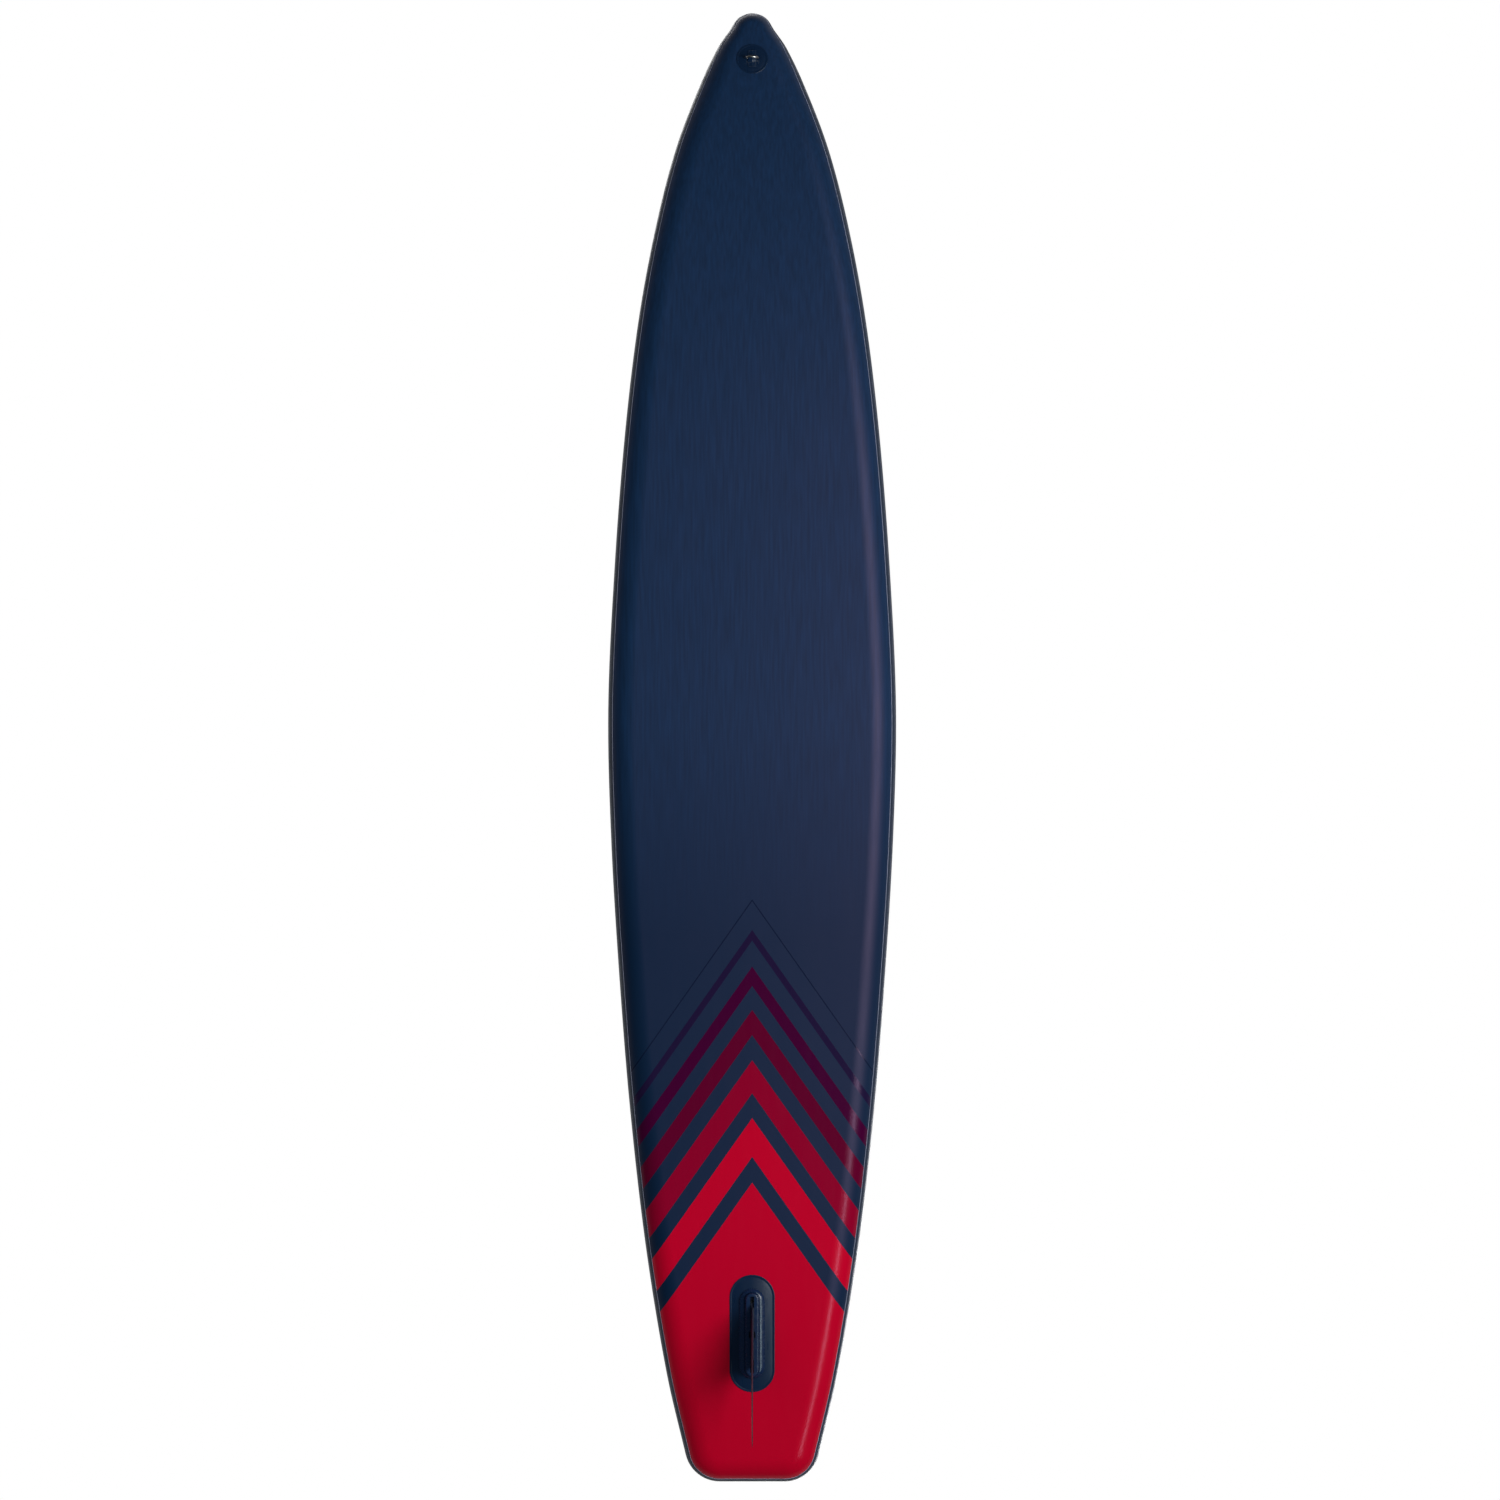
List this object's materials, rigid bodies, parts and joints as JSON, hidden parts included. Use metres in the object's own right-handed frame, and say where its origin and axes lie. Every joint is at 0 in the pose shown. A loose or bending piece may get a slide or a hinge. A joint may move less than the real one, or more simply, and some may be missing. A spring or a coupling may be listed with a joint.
{
  "type": "inflatable touring stand up paddleboard",
  "caption": "Inflatable touring paddleboard with drop-stitch chamber, raked fin in a slotted box, rings, webbing handles, valve and deck pads.",
  "frame": {"origin": "on the flat of the hull, on the centreline and half way between nose and tail", "axes": "+Y to the nose, +Z out of the deck, +X to starboard"},
  "size_m": [0.742, 3.81, 0.5357],
  "materials": {
    "navy_pvc": "satin woven-faced PVC, navy with a printed red and purple chevron pattern",
    "navy_rail_pvc": "satin PVC rail band and tape",
    "deck_pvc": "satin light grey PVC",
    "drop_stitch": "woven polyester and thread",
    "eva_foam": "matte grooved EVA foam",
    "eva_kick_foam": "matte EVA foam",
    "webbing": "woven polyester webbing",
    "neoprene": "neoprene with a stitched edge",
    "stainless_steel": "polished stainless steel",
    "moulded_plastic": "moulded navy plastic",
    "fin_plastic": "glass filled nylon",
    "valve_plastic": "grey moulded plastic",
    "black_rubber": "soft black rubber"
  },
  "bodies": {
    "board": {"bow_aft_port_patch": "navy_pvc", "bow_aft_port_tab": "navy_pvc", "bow_aft_starboard_patch": "navy_pvc", "bow_aft_starboard_tab": "navy_pvc", "bow_fore_port_patch": "navy_pvc", "bow_fore_port_tab": "navy_pvc", "bow_fore_starboard_patch": "navy_pvc", "bow_fore_starboard_tab": "navy_pvc", "cap_tether": "black_rubber", "carry_handle_patch_aft": "navy_pvc", "carry_handle_patch_fore": "navy_pvc", "carry_handle_webbing": "webbing", "deck_pad": "eva_foam", "deck_seam_tape": "navy_rail_pvc", "deck_skin": "deck_pvc", "fin_box": "moulded_plastic", "fin_box_patch": "navy_pvc", "hull_seam_tape": "navy_rail_pvc", "hull_skin": "navy_pvc", "kick_pad": "eva_kick_foam", "leash_patch": "navy_pvc", "leash_tab": "navy_pvc", "nose_handle_patch_aft": "navy_pvc", "nose_handle_patch_fore": "navy_pvc", "nose_handle_webbing": "webbing", "rail_band": "navy_rail_pvc", "stitch_sheet_deck": "drop_stitch", "stitch_sheet_hull": "drop_stitch", "tail_handle_patch_aft": "navy_pvc", "tail_handle_patch_fore": "navy_pvc", "tail_handle_webbing": "webbing", "tail_pad": "eva_foam", "thread_curtain_1": "drop_stitch", "thread_curtain_2": "drop_stitch", "thread_curtain_3": "drop_stitch", "thread_curtain_4": "drop_stitch", "thread_curtain_5": "drop_stitch", "tow_patch": "navy_pvc", "tow_tab": "navy_pvc", "valve_body": "valve_plastic", "valve_gasket": "black_rubber", "valve_nut": "valve_plastic", "valve_spring": "stainless_steel"},
    "fin_unit": {"fin": "fin_plastic", "fin_cross_pin": "stainless_steel", "fin_nut_plate": "stainless_steel"},
    "fin_screw_body": {"fin_screw": "stainless_steel"},
    "tow_ring_body": {"tow_ring": "stainless_steel"},
    "leash_ring_body": {"leash_ring": "stainless_steel"},
    "plunger": {"valve_plunger": "valve_plastic"},
    "cap": {"valve_cap": "valve_plastic"},
    "bow_aft_port_ring_body": {"bow_aft_port_ring": "stainless_steel"},
    "bow_aft_starboard_ring_body": {"bow_aft_starboard_ring": "stainless_steel"},
    "bow_fore_port_ring_body": {"bow_fore_port_ring": "stainless_steel"},
    "bow_fore_starboard_ring_body": {"bow_fore_starboard_ring": "stainless_steel"},
    "carry_grip": {"carry_handle_grip": "neoprene"},
    "nose_grip": {"nose_handle_grip": "neoprene"},
    "tail_grip": {"tail_handle_grip": "neoprene"}
  },
  "joints": [
    {"name": "fin_slide", "type": "slide", "parent": "board", "child": "fin_unit", "axis": [0, 0.9997, -0.026], "range_m": [-0.03, 0.004]},
    {"name": "fin_screw_turn", "type": "hinge", "parent": "fin_unit", "child": "fin_screw_body", "pos_m": [0, -1.42703, 0.00554], "axis": [0, -0.026, -0.9997], "continuous": true},
    {"name": "tow_ring_swing", "type": "hinge", "parent": "board", "child": "tow_ring_body", "pos_m": [0, 1.7734, 0.12747], "axis": [-1, 0, 0], "range_deg": [-100, 70]},
    {"name": "leash_ring_swing", "type": "hinge", "parent": "board", "child": "leash_ring_body", "pos_m": [0, -1.70485, 0.16896], "axis": [-1, 0, 0], "range_deg": [0, 175]},
    {"name": "bow_aft_port_ring_swing", "type": "hinge", "parent": "board", "child": "bow_aft_port_ring_body", "pos_m": [-0.165, 0.85984, 0.15814], "axis": [0, 0.9996, 0.0287], "range_deg": [0, 175]},
    {"name": "bow_aft_starboard_ring_swing", "type": "hinge", "parent": "board", "child": "bow_aft_starboard_ring_body", "pos_m": [0.165, 0.85984, 0.15814], "axis": [0, -0.9996, -0.0287], "range_deg": [0, 175]},
    {"name": "bow_fore_port_ring_swing", "type": "hinge", "parent": "board", "child": "bow_fore_port_ring_body", "pos_m": [-0.11, 1.27927, 0.19211], "axis": [0, 0.9914, 0.131], "range_deg": [0, 175]},
    {"name": "bow_fore_starboard_ring_swing", "type": "hinge", "parent": "board", "child": "bow_fore_starboard_ring_body", "pos_m": [0.11, 1.27927, 0.19211], "axis": [0, -0.9914, -0.131], "range_deg": [0, 175]},
    {"name": "carry_grip_lift", "type": "slide", "parent": "board", "child": "carry_grip", "axis": [0, 0, 1], "range_m": [0, 0.02], "deforming": ["carry_handle_webbing"]},
    {"name": "nose_grip_lift", "type": "slide", "parent": "board", "child": "nose_grip", "axis": [0, -0.2017, 0.9794], "range_m": [0, 0.019], "deforming": ["nose_handle_webbing"]},
    {"name": "tail_grip_lift", "type": "slide", "parent": "board", "child": "tail_grip", "axis": [0, 0.026, 0.9997], "range_m": [0, 0.019], "deforming": ["tail_handle_webbing"]},
    {"name": "valve_plunger_press", "type": "slide", "parent": "board", "child": "plunger", "axis": [0, -0.026, -0.9997], "range_m": [0, 0.0045], "stiffness_N_per_m": 800, "springref_m": -0.004, "deforming": ["valve_spring"]},
    {"name": "valve_cap_open", "type": "hinge", "parent": "board", "child": "cap", "pos_m": [0.022, -1.59973, 0.17113], "axis": [0, -0.9997, 0.026], "range_deg": [0, 150]}
  ]
}
